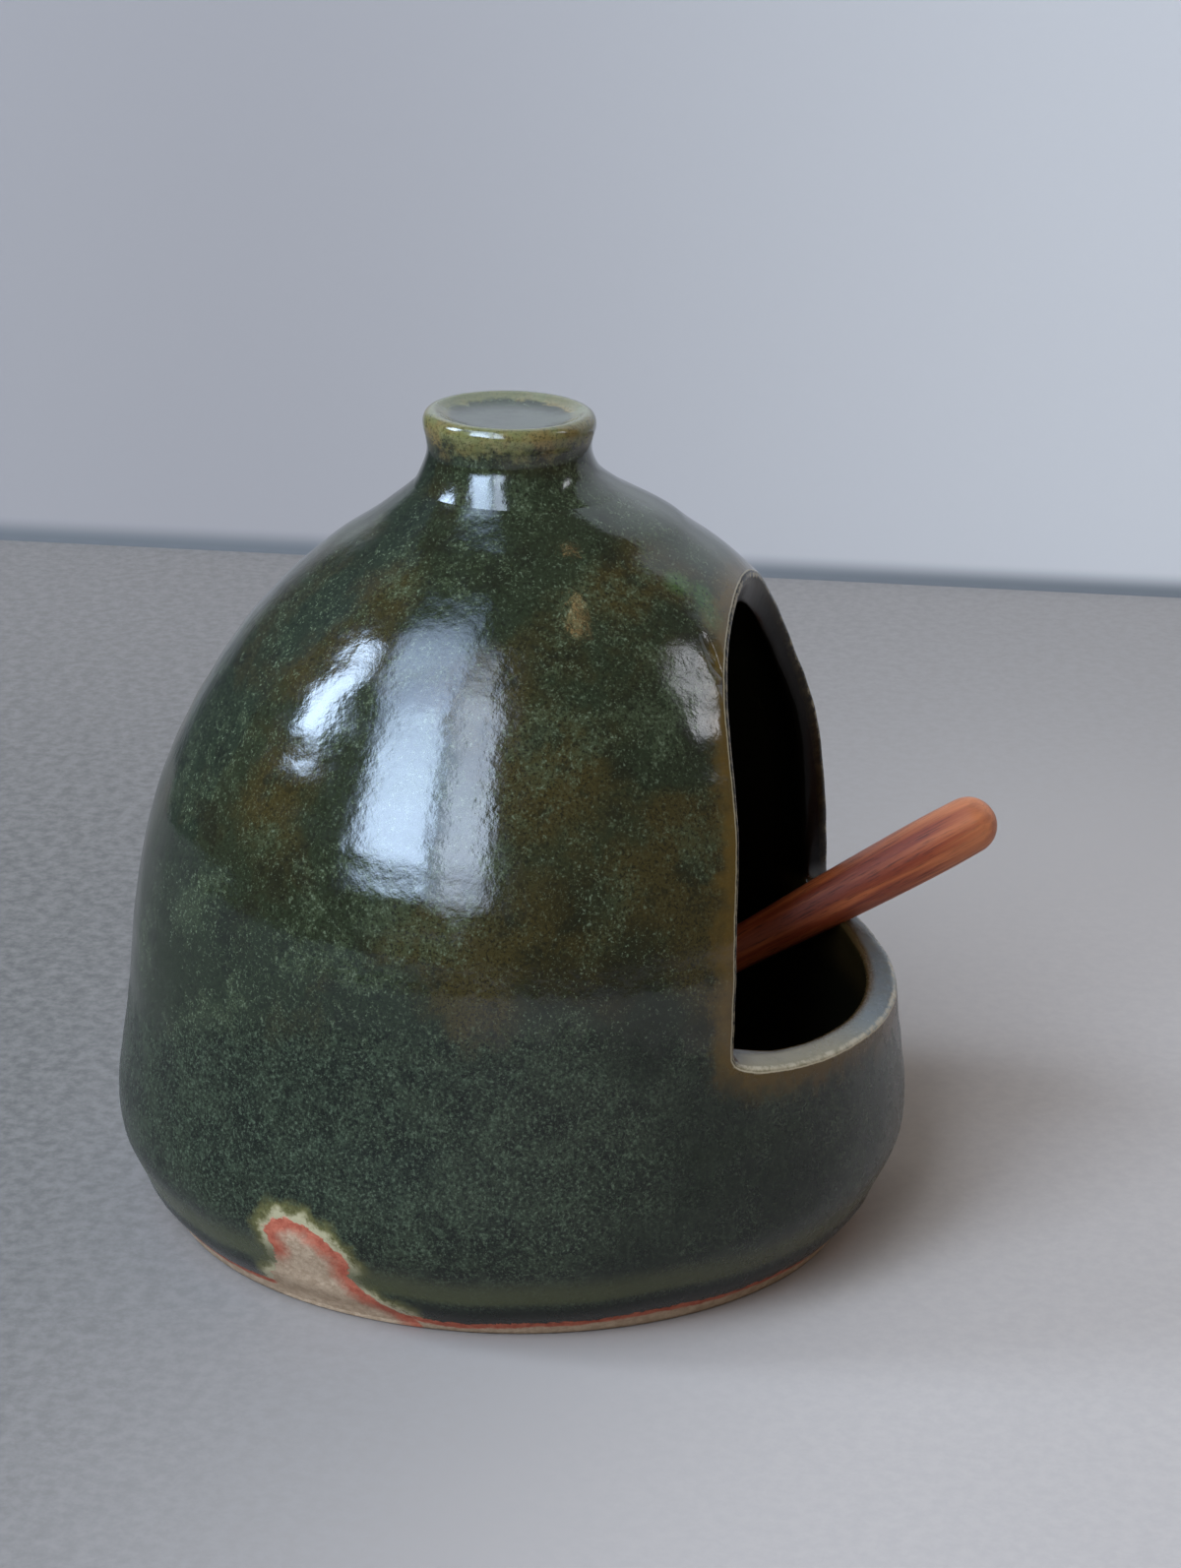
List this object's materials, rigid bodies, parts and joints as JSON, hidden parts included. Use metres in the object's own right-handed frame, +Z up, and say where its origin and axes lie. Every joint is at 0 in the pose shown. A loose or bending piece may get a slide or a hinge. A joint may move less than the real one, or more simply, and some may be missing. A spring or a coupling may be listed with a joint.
{
  "type": "salt pig",
  "caption": "Bell-shaped stoneware salt pig with an arched front mouth, a top knob and a loose wooden spoon.",
  "frame": {"origin": "centre of the pot's flat foot, on the surface that it stands on", "axes": "+Z up through the knob, -Y out of the mouth, +X to the right seen from the front"},
  "size_m": [0.1198, 0.1272, 0.1225],
  "materials": {
    "pot_glaze": "glossy mottled dark green glaze over stoneware",
    "knob_glaze": "glossy olive and amber glaze over stoneware",
    "spoon_wood": "smooth oiled reddish hardwood"
  },
  "bodies": {
    "pot": {"pot_body": "pot_glaze", "knob": "knob_glaze"},
    "spoon": {"spoon": "spoon_wood"}
  },
  "joints": [
    {"name": "spoon_lift_out", "type": "slide", "parent": "pot", "child": "spoon", "axis": [0, -0.766, 0.6428], "range_m": [0, 0.13]}
  ]
}
